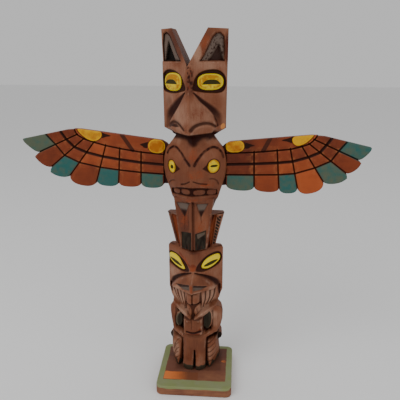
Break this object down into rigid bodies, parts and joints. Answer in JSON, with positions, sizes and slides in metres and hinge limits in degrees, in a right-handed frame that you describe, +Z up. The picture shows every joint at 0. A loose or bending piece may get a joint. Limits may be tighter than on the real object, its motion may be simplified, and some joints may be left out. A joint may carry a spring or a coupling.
{
  "type": "totem pole",
  "caption": "Carved and painted wooden totem pole souvenir with outspread feathered wings, standing on a square base.",
  "frame": {"origin": "middle of the base's underside", "axes": "+Z up along the pole, -Y towards the side that the carved figures face, X along the wings"},
  "size_m": [0.2994, 0.0694, 0.305],
  "materials": {
    "pole_wood": "red-brown stained carving, painted eyes and panels, satin",
    "wing_wood": "orange-brown stained boards, painted feathers, satin",
    "base_wood": "brown stained block with a worn green painted border, satin"
  },
  "bodies": {
    "root": {"pole": "pole_wood", "wing_left": "wing_wood", "wing_right": "wing_wood", "base": "base_wood"}
  },
  "joints": []
}
